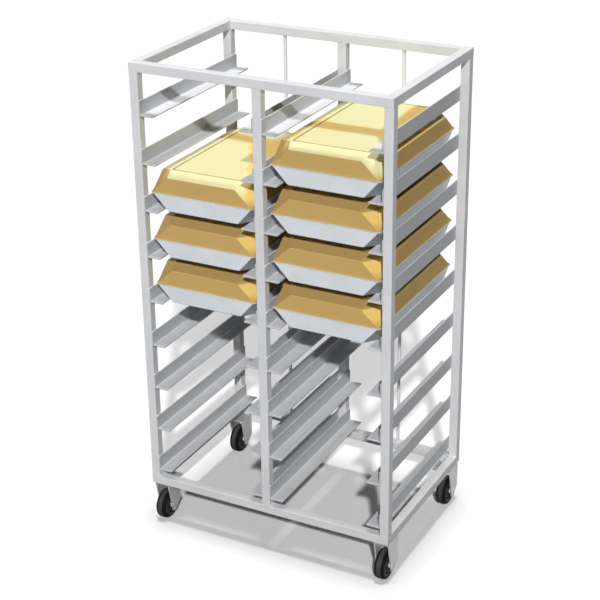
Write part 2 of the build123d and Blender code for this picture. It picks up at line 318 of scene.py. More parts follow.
@dataclass(frozen=True, kw_only=True)
class DrawnAluminium(Finish):
    """Deep-drawn aluminium sheet with a matt etched face.

    The eye sees a cool pale grey, fine lines along the length from rolling and washing, and a soft sheen.
    The slanted corners that look half down carry a painted shade.
    """

    name: str = "etched_drawn_aluminium"
    roughness: Pair = (0.44, 0.6)
    dulling_span: Pair = (0.4, 1.0)
    metallic: float = 0.05
    specular: float = 0.25
    colour: str = "#ECF1F6"
    stain: str = "#E0E6EC"
    # The colour of the painted shade on the slanted corners.
    drawn: str = "#8C9297"
    # Rolling lines are tenths of a millimetre apart, so they are drawn 3 mm apart to show.
    line_mm: float = 3.0
    line_length_mm: float = 166.67
    stain_mm: float = 90.0

    def surface(self, add: Add, place: NodeSocket) -> Look:
        """Mottle the sheet with lines and clouds, and paint shade on its slanted corners.

        Args:
            add: Puts a node into the material.
            place: Object coordinates.

        Returns:
            The nodes that the shader takes up.
        """
        across, along = 1 / (self.line_mm * MM), 1 / (self.line_length_mm * MM)
        drawn_out = add("Mapping", {"Vector": place, "Scale": (across, along, across)})
        lines = add("TexNoise", {"Vector": drawn_out, "Scale": 1.0, "Detail": 2.0})
        clouds = add("TexNoise", {
            "Vector": place, "Scale": 1 / (self.stain_mm * MM), "Detail": 4.0, "Roughness": 0.6})
        mottled = add("Math", {0: lines, 1: 0.45, 2: clouds}, operation="MULTIPLY_ADD")
        tone = add("MapRange", {"Value": mottled, "From Min": 0.52, "From Max": 0.98})
        sheet = add("Mix", {0: tone, 6: self.colour, 7: self.stain}, **RGBA)
        # Painted shade on the slanted corners: the faces that look half down, between the walls and
        # the underside.
        normal = add("NewGeometry").outputs["Normal"]
        facing_up = add("SeparateXYZ", {"Vector": normal}).outputs["Z"]
        overhang = add("MapRange", {
            "Value": facing_up, "From Min": -0.2, "From Max": -0.4, "To Max": 0.9}, **SMOOTH)
        not_under = add("MapRange", {"Value": facing_up, "From Min": -0.95, "From Max": -0.8}, **SMOOTH)
        corner = add("Math", {0: overhang, 1: not_under}, operation="MULTIPLY")
        colour = add("Mix", {0: corner, 6: sheet, 7: self.drawn}, **RGBA)
        return Look(colour, mottled, lines)


@dataclass(frozen=True)
class SideShade:
    """A place on a lid where the shadow of runners, a rail or a post falls, which gets a painted shadow.

    It is a parallelogram with soft edges, in metres: x + slope * y is within half_width of middle and y is
    within half_length of along.
    """

    middle: float
    half_width: float
    along: float
    half_length: float
    slope: float = 0.0
    soft: float = 0.012
    strength: float = 0.9

    def mask(self, add: Add, apart: Node) -> Node:
        """Add the nodes that tell how far a point lies inside.

        Args:
            add: Puts a node into the material.
            apart: The node that gives the point's separate coordinates.

        Returns:
            The node whose value runs from zero outside to the strength inside.
        """
        x, y = apart.outputs["X"], apart.outputs["Y"]
        slanted = add("Math", {0: y, 1: self.slope, 2: x}, operation="MULTIPLY_ADD")
        mask = self.strength
        for place, middle, half in (
            (slanted, self.middle, self.half_width), (y, self.along, self.half_length),
        ):
            beside = add("Math", {0: place, 1: middle}, operation="SUBTRACT")
            away = add("Math", {0: beside}, operation="ABSOLUTE")
            inside = add("MapRange", {
                "Value": away, "From Min": half + self.soft, "From Max": half - self.soft}, **SMOOTH)
            mask = add("Math", {0: mask, 1: inside}, operation="MULTIPLY")
        return mask


@dataclass(frozen=True, kw_only=True)
class MouldedLidPlastic(Finish):
    """Injection-moulded polypropylene, tan, fine-grained.

    The eye sees caramel walls. On an uppermost lid, the top and the corners turned to the light from the
    front right are painted pale straw as painted light, and where the frame's shadow falls they are painted
    orange as painted shadow: a ragged band behind the front rail and patches beside the runners, with loose
    patches at random. A lid under another tray has a painted shade on its flat top, deeper than its walls,
    and a painted highlight on the corners and edges turned to the light. A thin painted shade lies in the
    groove round the top.
    """

    shelter: Shelter
    roughness: Pair = (0.44, 0.58)
    relief_height: float = 0.0004
    relief_strength: float = 0.15
    ior: float = 1.49
    specular: float = 0.06
    wall: str = "#D5B472"
    deep: str = "#CDAA68"
    # The painted shade on a covered lid's flat top.
    painted_shaded_top: str = "#B6985D"
    # The painted shade in the groove round the top.
    painted_groove_shade: str = "#8B8260"
    # The painted light on an uppermost lid's top.
    painted_lit_top: str = "#EDE9B3"
    # The painted highlight on a covered lid's corners and edges turned to the light.
    painted_lit_corner: str = "#F5D177"
    # The painted shadow on an uppermost lid where the frame's shadow falls, and its loose patches.
    painted_shadow_and_patch: str = "#FFD67A"
    patch_mm: float = 170.0
    # The mould's grain is about 0.5 mm, too fine to show, so it is drawn at 4 mm.
    grain_mm: float = 4.0
    # The direction of the painted light: faces turned to it, high on the lid, get the top's painted colours.
    painted_light_direction: Point = (0.15, -0.3, 0.94)
    # The painted shadow band lies where the front rail's shadow falls; its middle line is where
    # y + shade_slope * z equals shade_line. It is whole within band_core of that line and gone at band_width.
    # The wavers are how far the painted shadows' edges wander, all in metres.
    shade_slope: float = 1.23
    shade_line: float = 1.842
    band_width: float = 0.055
    band_core: float = 0.011
    band_waver: float = 0.12
    side_waver: float = 0.08
    side_shades: tuple[SideShade, ...] = (
        SideShade(-0.116, 0.100, -0.04, 0.18, 0.563), SideShade(-0.056, 0.026, 0.0, 0.32),
        SideShade(0.365, 0.063, 0.095, 0.205), SideShade(0.402, 0.026, 0.03, 0.26),
    )

    def surface(self, add: Add, place: NodeSocket) -> Look:
        """Colour the walls and the top, which the lid's own attributes groove and rise tell apart.

        Args:
            add: Puts a node into the material.
            place: Object coordinates.

        Returns:
            The nodes that the shader takes up.
        """
        broad = add("TexNoise", {
            "Vector": place, "Scale": 1 / (self.patch_mm * MM), "Detail": 2.0, "Distortion": 1.4})
        rise = add("Attribute", attribute_name="rise").outputs["Fac"]
        if self.shelter is Shelter.OPEN:
            # Uppermost lid: painted light on top, painted shadow where the frame's shadow falls.
            top = add("Mix", {0: self._painted_shadow_mask(add, place, broad), 6: self.painted_lit_top, 7: self.painted_shadow_and_patch}, **RGBA)
        else:
            # Covered lid: painted shade on the flat top, painted highlight on the corners turned to the
            # light.
            crown = add("MapRange", {"Value": rise, "From Min": 0.74, "From Max": 0.79})
            top = add("Mix", {0: crown, 6: self.painted_lit_corner, 7: self.painted_shaded_top}, **RGBA)
        # Faces turned to the painted light's direction, high on the lid, take the top's painted colours.
        normal = add("NewGeometry").outputs["Normal"]
        facing = add("VectorMath", {0: normal, 1: self.painted_light_direction}, operation="DOT_PRODUCT")
        turned = add("MapRange", {"Value": facing, "From Min": 0.72, "From Max": 0.82}, **SMOOTH)
        risen = add("MapRange", {"Value": rise, "From Min": 0.1, "From Max": 0.45, "To Max": 0.95}, **SMOOTH)
        painted_light_mask = add("Math", {0: turned, 1: risen}, operation="MULTIPLY")
        side = add("Mix", {0: broad, 6: self.wall, 7: self.deep}, **RGBA)
        clean = add("Mix", {0: painted_light_mask, 6: side, 7: top}, **RGBA)
        # A thin painted shade in the groove round the top.
        groove = add("Attribute", attribute_name="groove").outputs["Fac"]
        colour = add("Mix", {0: groove, 6: clean, 7: self.painted_groove_shade}, **RGBA)
        grain = add("TexNoise", {"Vector": place, "Scale": 1 / (self.grain_mm * MM), "Detail": 2.0})
        shade = add("MapRange", {
            "Value": grain, "From Min": 0.35, "From Max": 0.7, "To Min": 1.015, "To Max": 0.97})
        grained = add("VectorMath", {0: colour, "Scale": shade}, operation="SCALE")
        return Look(grained, broad, grain)

    def _painted_shadow_mask(self, add: Add, place: NodeSocket, broad: Node) -> Node:
        """Add the nodes that tell where an uppermost lid gets its painted shadow.

        Args:
            add: Puts a node into the material.
            place: Object coordinates.
            broad: The noise that makes loose patches and lets the shades' edges wander.

        Returns:
            The node whose value is zero under the painted light and rises with the painted shadow.
        """
        apart = add("SeparateXYZ", {"Vector": place}).outputs
        patches = add("MapRange", {
            "Value": broad, "From Min": 0.62, "From Max": 0.74, "To Max": 0.6}, **SMOOTH)
        # Band: painted shadow where the front rail's shadow falls.
        start = -self.band_waver / 2 - self.shade_line
        wander = add("Math", {0: broad, 1: self.band_waver, 2: start}, operation="MULTIPLY_ADD")
        fallen = add("Math", {0: apart["Z"], 1: self.shade_slope, 2: wander}, operation="MULTIPLY_ADD")
        beside = add("Math", {0: apart["Y"], 1: fallen}, operation="ADD")
        away = add("Math", {0: beside}, operation="ABSOLUTE")
        band = add("MapRange", {
            "Value": away, "From Min": self.band_width, "From Max": self.band_core, "To Max": 0.9}, **SMOOTH)
        shaded = add("Math", {0: patches, 1: band}, operation="MAXIMUM")
        # Side shades: painted shadow where the shadows of the runners, the right rail and the post fall.
        waver = add("Math", {
            0: broad, 1: self.side_waver, 2: -self.side_waver / 2}, operation="MULTIPLY_ADD")
        wavered = add("VectorMath", {0: place, 1: waver}, operation="ADD")
        wavered_apart = add("SeparateXYZ", {"Vector": wavered})
        for side_shade in self.side_shades:
            mask = side_shade.mask(add, wavered_apart)
            shaded = add("Math", {0: shaded, 1: mask}, operation="MAXIMUM")
        return shaded


@dataclass(frozen=True, kw_only=True)
class ZincPlatedSteel(Finish):
    """Pressed steel with a bright zinc plating gone dull.

    The eye sees a mid grey metal with a patchy bloom and darker stains.
    """

    name: str = "zinc_plated_pressed_steel"
    roughness: Pair = (0.34, 0.52)
    relief_strength: float = 0.12
    metallic: float = 0.35
    colour: str = "#D3D4D6"
    bloom: str = "#BFC1C4"
    stain: str = "#9A9C9F"
    bloom_mm: float = 11.0
    stain_mm: float = 35.0

    def surface(self, add: Add, place: NodeSocket) -> Look:
        """Lay the bloom and the stains over the plating.

        Args:
            add: Puts a node into the material.
            place: Object coordinates.

        Returns:
            The nodes that the shader takes up.
        """
        bloom = add("TexVoronoi", {
            "Vector": place, "Scale": 1 / (self.bloom_mm * MM), "Smoothness": 0.7}, feature="SMOOTH_F1")
        stain = add("TexNoise", {
            "Vector": place, "Scale": 1 / (self.stain_mm * MM), "Detail": 5.0, "Roughness": 0.65})
        stained = add("MapRange", {"Value": stain, "From Min": 0.52, "From Max": 0.78, "To Max": 0.7})
        plating = add("Mix", {0: bloom, 6: self.colour, 7: self.bloom}, **RGBA)
        colour = add("Mix", {0: stained, 6: plating, 7: self.stain}, **RGBA)
        return Look(colour, stain, bloom)


@dataclass(frozen=True, kw_only=True)
class WheelPlastic(Finish):
    """Moulded wheel centre of grey polypropylene: matt, with patches of a dusty film."""

    name: str = "moulded_grey_polypropylene"
    roughness: Pair = (0.45, 0.7)
    ior: float = 1.49
    colour: str = "#2B2C2E"
    dust: str = "#4A4947"
    dust_mm: float = 22.0

    def surface(self, add: Add, place: NodeSocket) -> Look:
        """Lay the film over the plastic.

        Args:
            add: Puts a node into the material.
            place: Object coordinates.

        Returns:
            The nodes that the shader takes up.
        """
        film = add("TexNoise", {"Vector": place, "Scale": 1 / (self.dust_mm * MM), "Detail": 5.0})
        filmed = add("MapRange", {"Value": film, "From Min": 0.45, "From Max": 0.75, "To Max": 0.6})
        colour = add("Mix", {0: filmed, 6: self.colour, 7: self.dust}, **RGBA)
        return Look(colour, film, film)


@dataclass(frozen=True, kw_only=True)
class TurnedNylon(Finish):
    """Turned nylon spacer: off-white, waxy, with faint turning rings."""

    name: str = "turned_white_nylon"
    roughness: Pair = (0.3, 0.5)
    dulling_span: Pair = (0.0, 1.0)
    relief_height: float = 0.0002
    ior: float = 1.53
    colour: str = "#F4F4F2"
    worn: str = "#E4E2DC"
    # Turning rings are a tenth of a millimetre apart, so they are drawn 1.5 mm apart.
    ring_mm: float = 1.5
    ring_length_mm: float = 25.0

    def surface(self, add: Add, place: NodeSocket) -> Look:
        """Lay the rings, one behind another along X, over the nylon.

        Args:
            add: Puts a node into the material.
            place: Object coordinates.

        Returns:
            The nodes that the shader takes up.
        """
        apart, around = 1 / (self.ring_mm * MM), 1 / (self.ring_length_mm * MM)
        squeezed = add("Mapping", {"Vector": place, "Scale": (apart, around, around)})
        rings = add("TexNoise", {"Vector": squeezed, "Scale": 1.0, "Detail": 2.0})
        colour = add("Mix", {0: rings, 6: self.colour, 7: self.worn}, **RGBA)
        return Look(colour, rings, rings)


@dataclass(frozen=True, kw_only=True)
class TyreRubber(Finish):
    """Vulcanised black rubber.

    The eye sees deep black side walls with a dull bloom and a greyer running face that has picked up dust.
    """

    name: str = "vulcanised_black_rubber"
    roughness: Pair = (0.5, 0.85)
    dulling_span: Pair = (0.0, 0.6)
    relief_height: float = 0.0004
    relief_strength: float = 0.25
    ior: float = 1.52
    specular: float = 0.04
    colour: str = "#0F0F11"
    bloom: str = "#1A1A1C"
    dust: str = "#676767"
    bloom_mm: float = 16.0
    grit_mm: float = 3.0

    def surface(self, add: Add, place: NodeSocket) -> Look:
        """Lay bloom over the rubber, and grit where the tyre's own attribute running_face says.

        Args:
            add: Puts a node into the material.
            place: Object coordinates.

        Returns:
            The nodes that the shader takes up.
        """
        running = add("Attribute", attribute_name="running_face").outputs["Fac"]
        clouds = add("TexNoise", {"Vector": place, "Scale": 1 / (self.bloom_mm * MM), "Detail": 4.0})
        grit = add("TexNoise", {"Vector": place, "Scale": 1 / (self.grit_mm * MM), "Detail": 2.0})
        wall = add("Mix", {0: clouds, 6: self.colour, 7: self.bloom}, **RGBA)
        picked_up = add("Math", {0: running, 1: grit}, operation="MULTIPLY")
        colour = add("Mix", {0: picked_up, 6: wall, 7: self.dust}, **RGBA)
        return Look(colour, picked_up, grit)


@dataclass(frozen=True, kw_only=True)
class FloorPaint(Finish):
    """Matt floor paint: almost white to the eye and in mirrors, dark to the light that bounces off it."""

    name: str = "painted_studio_floor"
    roughness: Pair = (0.75, 0.9)
    dulling_span: Pair = (0.0, 1.0)
    specular: float = 0.1
    seen: str = "#FAFAFA"
    felt: str = "#303030"
    lift: float = 0.02
    cloud_mm: float = 666.67

    def surface(self, add: Add, place: NodeSocket) -> Look:
        """Tell the rays that see the floor from those that only take light from it.

        Args:
            add: Puts a node into the material.
            place: Object coordinates.

        Returns:
            The nodes that the shader takes up.
        """
        cloud = add("TexNoise", {"Vector": place, "Scale": 1 / (self.cloud_mm * MM), "Detail": 3.0})
        seen = seen_rays(add)
        lift = add("MapRange", {"Value": seen, "To Min": 0.0, "To Max": self.lift})
        colour = add("Mix", {0: seen, 6: self.felt, 7: self.seen}, **RGBA)
        return Look(colour, cloud, glow=lift)


def box_mm(node: str) -> np.ndarray:
    """Lowest and highest corner of a CAD node at rest, in millimetres."""
    return np.array(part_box(node)) / MM


def shell_object(
    name: str, points: np.ndarray, ring: bool = False, values: dict[str, np.ndarray] | None = None,
) -> Object:
    """Make one smooth mesh of closed shells from grids of points.

    Each shell is a grid whose columns run round it. Its rows either end in a pole at both ends, at the
    mean of the last row, or run round to the first row again. A shell whose signed volume, the sum of
    one . (two x three) / 6 over its triangles' corners, is below zero gets its columns in the other order.

    Args:
        name: The object's name.
        points: Grid points in millimetres, as shells x rows x columns x 3.
        ring: True where the rows run round.
        values: Further numbers for each grid point, by attribute name; a pole gets the mean of its row.

    Returns:
        The linked object, at the origin.
    """
    shells, rows, columns, _ = points.shape
    index = np.arange(rows * columns).reshape(rows, columns)
    beside = np.roll(index, -1, axis=1)
    vertices = points.reshape(shells, rows * columns, 3) * MM
    if ring:
        quads = np.stack([index, beside, np.roll(beside, -1, axis=0), np.roll(index, -1, axis=0)], axis=-1)
        fans = np.zeros((0, 3), int)
    else:
        quads = np.stack([index[:-1], beside[:-1], beside[1:], index[1:]], axis=-1)
        pole = np.full(columns, rows * columns)
        fans = np.concatenate([
            np.stack([pole, beside[0], index[0]], axis=-1),
            np.stack([pole + 1, index[-1], beside[-1]], axis=-1),
        ])
        vertices = np.concatenate([vertices, points[:, [0, -1]].mean(axis=2) * MM], axis=1)
    quads = quads.reshape(-1, 4)
    triangles = np.concatenate([quads[:, :3], quads[:, [0, 2, 3]], fans])
    spread = vertices - vertices.mean(axis=1, keepdims=True)
    one, two, three = (spread[:, triangles[:, corner]] for corner in range(3))
    volume = np.einsum("sti,sti->s", one, np.cross(two, three)) / 6
    shift = (np.arange(shells) * vertices.shape[1])[:, None, None]
    turned = (volume < 0)[:, None, None]
    faces = []
    for part in (quads, fans):
        faces += (np.where(turned, part[:, ::-1], part) + shift).reshape(-1, part.shape[1]).tolist()
    mesh = bpy.data.meshes.new(name)
    mesh.from_pydata(vertices.reshape(-1, 3), [], faces)
    mesh.polygons.foreach_set("use_smooth", np.ones(len(mesh.polygons), bool))
    for key, numbers in (values or {}).items():
        grid = numbers.reshape(shells, rows, columns)
        poles = np.zeros((shells, 0)) if ring else grid[:, [0, -1]].mean(axis=2)
        whole = np.concatenate([grid.reshape(shells, -1), poles], axis=1)
        layer = mesh.attributes.new(key, "FLOAT", "POINT")
        layer.data.foreach_set("value", whole.astype(np.float32).ravel())
    mesh.update()
    shell = bpy.data.objects.new(name, mesh)
    bpy.context.scene.collection.objects.link(shell)
    return shell


def eased(corners: np.ndarray, reach: np.ndarray | float, closed: bool, steps: int = 5) -> np.ndarray:
    """Round the corners of polylines.

    From a point A, one reach before a corner C, to a point B, one reach after it, the line follows the
    parabola (1-t)^2 A + 2t(1-t) C + t^2 B. One more point a quarter further out on each side keeps the
    straight runs flat under smooth shading. Lengths are measured in the first two coordinates.

    Args:
        corners: Corner points, as ... x corners x coordinates.
        reach: How far from each corner the rounding starts, less where a run is too short for it.
        closed: True where the last corner joins the first; an open line keeps its two ends.
        steps: Points on each parabola.

    Returns:
        The rounded lines, as ... x points x coordinates.
    """
    reaches = np.broadcast_to(np.asarray(reach, float), corners.shape[:-1])[..., None]
    sides = []
    for turn in (1, -1):
        run = np.roll(corners, turn, axis=-2) - corners
        length = np.maximum(np.linalg.norm(run[..., :2], axis=-1, keepdims=True), SHORTEST_RUN)
        part = run * np.minimum(reaches / length, LARGEST_SHARE)
        sides.append(((corners + part)[..., None, :], (corners + part * OUTER_REACH)[..., None, :]))
    (start, outer_start), (end, outer_end) = sides
    t = np.linspace(0, 1, steps)[:, None]
    curve = (1 - t) ** 2 * start + 2 * t * (1 - t) * corners[..., None, :] + t ** 2 * end
    rounded = np.concatenate([outer_start, curve, outer_end], axis=-2)
    if closed:
        return rounded.reshape(*corners.shape[:-2], -1, corners.shape[-1])
    inner = rounded[..., 1:-1, :, :].reshape(*corners.shape[:-2], -1, corners.shape[-1])
    return np.concatenate([corners[..., :1, :], inner, corners[..., -1:, :]], axis=-2)


class Station(NamedTuple):
    """One corner of a tray's profile, in millimetres.

    Size is the half width and half length there, cut is what the corner facets take off across and along,
    reach is how far the profile's rounding reaches, and the last is the groove's share of painted shade.
    """

    height: float
    size: np.ndarray
    cut: np.ndarray
    reach: float = 0.0
    painted_groove_shade: float = 0.0


@dataclass
class LiddedTray:
    """A drawn pan and its moulded lid. Sizes in millimetres, pairs of them across and along."""

    bay: Side
    level: int
    rim_flange: float = 4.0
    rim_cut: float = 4.0
    pan_wall: float = 2.0
    pan_draft: float = 4.5
    pan_facet: Pair = (60.0, 71.0)
    pan_rounding: float = 1.8
    spigot_depth: float = 5.0
    spigot_inset: float = 5.0
    spigot_cut: float = 16.0
    lid_wall: float = 2.5
    lid_draft: float = 1.0
    lid_lip: float = 0.7
    lid_facet: Pair = (64.0, 75.0)
    lid_rounding: float = 2.4
    lip_height: float = 3.0
    shoulder_height: float = 59.0
    bevel: Pair = (52.0, 38.0)
    top_cut: float = 5.0
    groove_inset: float = 4.5
    groove_width: float = 7.0
    groove_side: float = 1.4
    groove_depth: float = 1.4
    top_sag: float = 1.0
    # Where the flat middles start and where the sagging top has its stations, as shares of the half sizes.
    pan_middle: float = 0.1
    lid_middle: float = 0.2
    sag_shares: tuple[float, ...] = (0.85, 0.6, 0.35, 0.12)

    @property
    def place(self) -> str:
        """Bay and level as the nodes' names give them."""
        return f"{self.bay.value}_{self.level}"

    def build(self, pan_finish: Material, lid_finish: Material) -> list[Object]:
        """Make the pan and the lid, set them on their bodies and dress them.

        Args:
            pan_finish: The pan's material.
            lid_finish: The lid's material.

        Returns:
            The pan and the lid.
        """
        pan = self._set(f"drawn_pan_{self.place}", f"pan_{self.place}", self.pan_profile, self.pan_rounding)
        pan.data.materials.append(pan_finish)
        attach(pan, f"tray_{self.place}")
        lid = self._set(f"moulded_lid_{self.place}", f"lid_{self.place}", self.lid_profile, self.lid_rounding)
        lid.data.materials.append(lid_finish)
        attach(lid, f"cover_{self.place}")
        return [pan, lid]

    def _set(
        self, name: str, node: str, profile: Callable[[np.ndarray, float], list[Station]], rounding: float,
    ) -> Object:
        """Carry a profile round the outline of a CAD node, and let the shell stand for that node.

        At each station the outline is a rectangle with its four corners cut off by straight facets, and the
        eight corners of that octagon are rounded.

        Args:
            name: The new object's name.
            node: The CAD node that it stands for.
            profile: What gives the stations for the node's half sizes and height.
            rounding: How far the rounding of the octagon's corners reaches.

        Returns:
            The new object.
        """
        low, high = box_mm(node)
        stations = profile((high - low)[:2] / 2, high[2] - low[2])
        corners = np.array([[row.height, *row.size, *row.cut, row.painted_groove_shade] for row in stations])
        line = eased(corners, np.array([row.reach for row in stations]), closed=False)
        height, width, length, across, along, painted_groove_shade = line.T
        x = np.stack([width, width, width - across, across - width], axis=1)
        y = np.stack([along - length, length - along, length, length], axis=1)
        octagon = np.stack([np.hstack([x, -x]), np.hstack([y, -y])], axis=2)
        flat = eased(octagon, rounding, closed=True) + (low + high)[:2] / 2
        level, groove, rise = (
            np.tile(row[:, None], flat.shape[1]) for row in (height + low[2], painted_groove_shade, height / height.max()))
        shell = shell_object(name, np.dstack([flat, level])[None], values={"groove": groove, "rise": rise})
        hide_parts(node)
        return shell

    def pan_profile(self, size: np.ndarray, depth: float) -> list[Station]:
        """Profile of the pan from the middle of its floor inside, over the rim, to the middle underneath.

        A facet's cut is s times its run, where s is the rim's cut plus the share of the depth, less what
        the wall's own slope has already taken.

        Args:
            size: The pan's half width and half length.
            depth: Its depth.

        Returns:
            The stations, with their heights from the pan's lowest point.
        """
        facet, wall = np.array(self.pan_facet), self.pan_wall
        mouth = size - self.rim_flange
        floor = mouth - self.pan_draft
        rim = self.rim_cut / facet[0] * facet
        foot = rim + facet * (1 - self.pan_draft * (1 / facet).sum())
        middle, middle_cut = self.pan_middle * floor, self.pan_middle * facet
        return [
            Station(wall, middle, middle_cut),
            Station(wall, floor - wall, foot, 5.0),
            Station(depth, mouth - wall, rim, 1.2),
            Station(depth, size, rim, 0.7),
            Station(depth - wall, size, rim, 0.7),
            Station(depth - wall, mouth, rim, 1.0),
            Station(0.0, floor, foot, 3.0),
            Station(0.0, middle, middle_cut),
        ]

    def lid_profile(self, size: np.ndarray, height: float) -> list[Station]:
        """Profile of the lid from the middle of its inside, round the spigot and the lip, to its top.

        The top sags by top_sag times 1 - s^2 at the share s of its half sizes.

        Args:
            size: The lid's half width and half length.
            height: Its height with the spigot.

        Returns:
            The stations, with their heights from the spigot's foot.
        """
        facet, wall, seat = np.array(self.lid_facet), self.lid_wall, self.spigot_depth
        shoulder = seat + self.shoulder_height
        rim = self.rim_cut / facet[0] * facet
        low = rim + facet * 2 * self.lip_height / self.shoulder_height
        high = rim + facet * (1 - self.lid_draft * (1 / facet).sum())
        cut, spigot = np.full(2, self.top_cut), np.full(2, self.spigot_cut)
        neck, wide = size - self.spigot_inset, size - self.lid_draft
        flat = wide - np.array(self.bevel)
        groove = flat - self.groove_inset
        panel, sunk = groove - self.groove_width, height - self.groove_depth
        return [
            Station(height - wall, self.lid_middle * flat, cut),
            Station(height - wall, flat - wall, cut, 2.0),
            Station(shoulder - wall, wide - wall, high, 3.0),
            Station(seat + wall, size - wall, rim, 1.0),
            Station(seat + wall, neck - wall, spigot, 1.0),
            Station(0.0, neck - wall, spigot, 0.8),
            Station(0.0, neck, spigot, 0.8),
            Station(seat, neck, spigot, 0.8),
            Station(seat, size, rim, 0.8),
            Station(seat + self.lip_height, size, rim, 0.6),
            Station(seat + 2 * self.lip_height, size - self.lid_lip, low, 0.6),
            Station(shoulder, wide, high, 2.4),
            Station(height, flat, cut, 2.4),
            Station(height, groove, cut, 0.6),
            Station(sunk, groove - self.groove_side, cut, 0.5, 1.0),
            Station(sunk, panel + self.groove_side, cut, 0.5, 1.0),
            Station(height, panel, cut, 0.6),
            *(Station(height - self.top_sag * (1 - s * s), s * panel, s * cut, 8.0) for s in self.sag_shares),
        ]


@dataclass
class CastorWheel:
    """A castor's tyre and the ribs of its wheel centre. Sizes in millimetres."""

    corner: Corner
    tyre_thickness: float = 13.0
    shoulder: float = 8.0
    shoulder_bulge: float = 2.4
    wall_groove: Pair = (2.2, 4.4)
    wall_groove_depth: float = 0.7
    tread_groove: Pair = (2.4, 4.6)
    tread_groove_depth: float = 0.9
    groove_side: float = 0.5
    tread_margin: float = 9.0
    tread_fade: float = 3.0
    tread_depth: float = 2.0
    hub_radius: float = 15.0
    rim_thickness: float = 5.0
    web_half: float = 4.0
    rib_count: int = 8
    rib_rows: int = 4
    rib_thickness: float = 3.0
    rib_height: float = 15.0
    rib_rounding: float = 0.8
    rib_overlap: float = 1.0
    rib_dip: float = 0.18
    segments: int = 120
    middle: np.ndarray = field(init=False)
    half_width: float = field(init=False)
    radius: float = field(init=False)

    def __post_init__(self) -> None:
        """Take the wheel's middle, half width and radius from the CAD tyre."""
        low, high = box_mm(f"castor_tyre_{self.corner.value}")
        self.middle = (low + high) / 2
        self.half_width, *across = (high - low) / 2
        self.radius = min(across)

    def build(self, rubber: Material, plastic: Material) -> list[Object]:
        """Make the tyre and the ribs, set them on the wheel's body and dress them.

        Args:
            rubber: The tyre's material.
            plastic: The wheel centre's material.

        Returns:
            The tyre and the ribs.
        """
        tyre = self._tyre()
        tyre.data.materials.append(rubber)
        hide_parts(f"castor_tyre_{self.corner.value}")
        ribs = self._ribs()
        ribs.data.materials.append(plastic)
        for piece in (tyre, ribs):
            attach(piece, f"wheel_{self.corner.value}")
        return [tyre, ribs]

    def _tyre(self) -> Object:
        """Turn the tyre's section, a closed loop of offset x and radius r, about the axle.

        A point of the section goes to x along the axle and to r cos(a), r sin(a) across it.

        Returns:
            The tyre.
        """
        face, tread, slant = self.half_width, self.radius, self.groove_side
        bore = tread - self.tyre_thickness
        lower, upper = (bore + height for height in self.wall_groove)
        inner, outer = self.tread_groove
        inset, sunk = face - self.wall_groove_depth, tread - self.tread_groove_depth
        # Offset, radius and how far the rounding reaches, from the bore to the middle of the tread.
        half = np.array([
            (face, bore, 0.8),
            (face, lower, 0.4), (inset, lower + slant, 0.3), (inset, upper - slant, 0.3), (face, upper, 0.4),
            (face, tread - self.shoulder, 2.2),
            (face - self.shoulder_bulge, tread - self.shoulder_bulge, 2.4),
            (face - self.shoulder, tread, 2.2),
            (outer, tread, 0.4), (outer - slant, sunk, 0.3), (inner + slant, sunk, 0.3), (inner, tread, 0.4),
        ])
        loop = np.concatenate([half, half[::-1] * (-1, 1, 1)])
        offset, radius = eased(loop[:, :2], loop[:, 2], closed=True).T
        angle = np.linspace(0, 2 * np.pi, self.segments, endpoint=False)[:, None]
        turned = np.broadcast_arrays(offset, radius * np.cos(angle), radius * np.sin(angle))
        running = np.clip((face - self.tread_margin - np.abs(offset)) / self.tread_fade, 0, 1)
        running = np.tile(running * (radius > tread - self.tread_depth), (self.segments, 1))
        points = np.stack(turned, axis=-1)[None] + self.middle
        return shell_object(f"solid_tyre_{self.corner.value}", points, True, {"running_face": running})

    def _ribs(self) -> Object:
        """Carry a rounded rectangle out from the hub to the rim, for each rib on both faces of the web.

        Its height is least half-way out: less by rib_dip times the sine of pi times the share of the way.

        Returns:
            One object with all the ribs.
        """
        half, low, high = self.rib_thickness / 2, self.web_half - self.rib_overlap, self.rib_height
        box = np.array([(-half, low), (half, low), (half, high), (-half, high)])
        across, rise = eased(box, self.rib_rounding, closed=True, steps=3).T
        inner = self.hub_radius - self.rib_overlap
        outer = self.radius - self.tyre_thickness - self.rim_thickness + self.rib_overlap
        share = np.linspace(0, 1, self.rib_rows)[None, :, None]
        out = inner + (outer - inner) * share
        angle = np.repeat(np.arange(self.rib_count) * 2 * np.pi / self.rib_count, 2)[:, None, None]
        side = np.tile([1.0, -1.0], self.rib_count)[:, None, None]
        x = side * rise * (1 - self.rib_dip * np.sin(np.pi * share))
        y = out * np.cos(angle) - across * np.sin(angle)
        z = out * np.sin(angle) + across * np.cos(angle)
        return shell_object(f"wheel_ribs_{self.corner.value}", np.stack([x, y, z], axis=-1) + self.middle)


class Joint(NamedTuple):
    """A straight joint to weld: its two ends, in millimetres, and the directions along its two faces."""

    start: Point
    end: Point
    first_leg: Point
    second_leg: Point


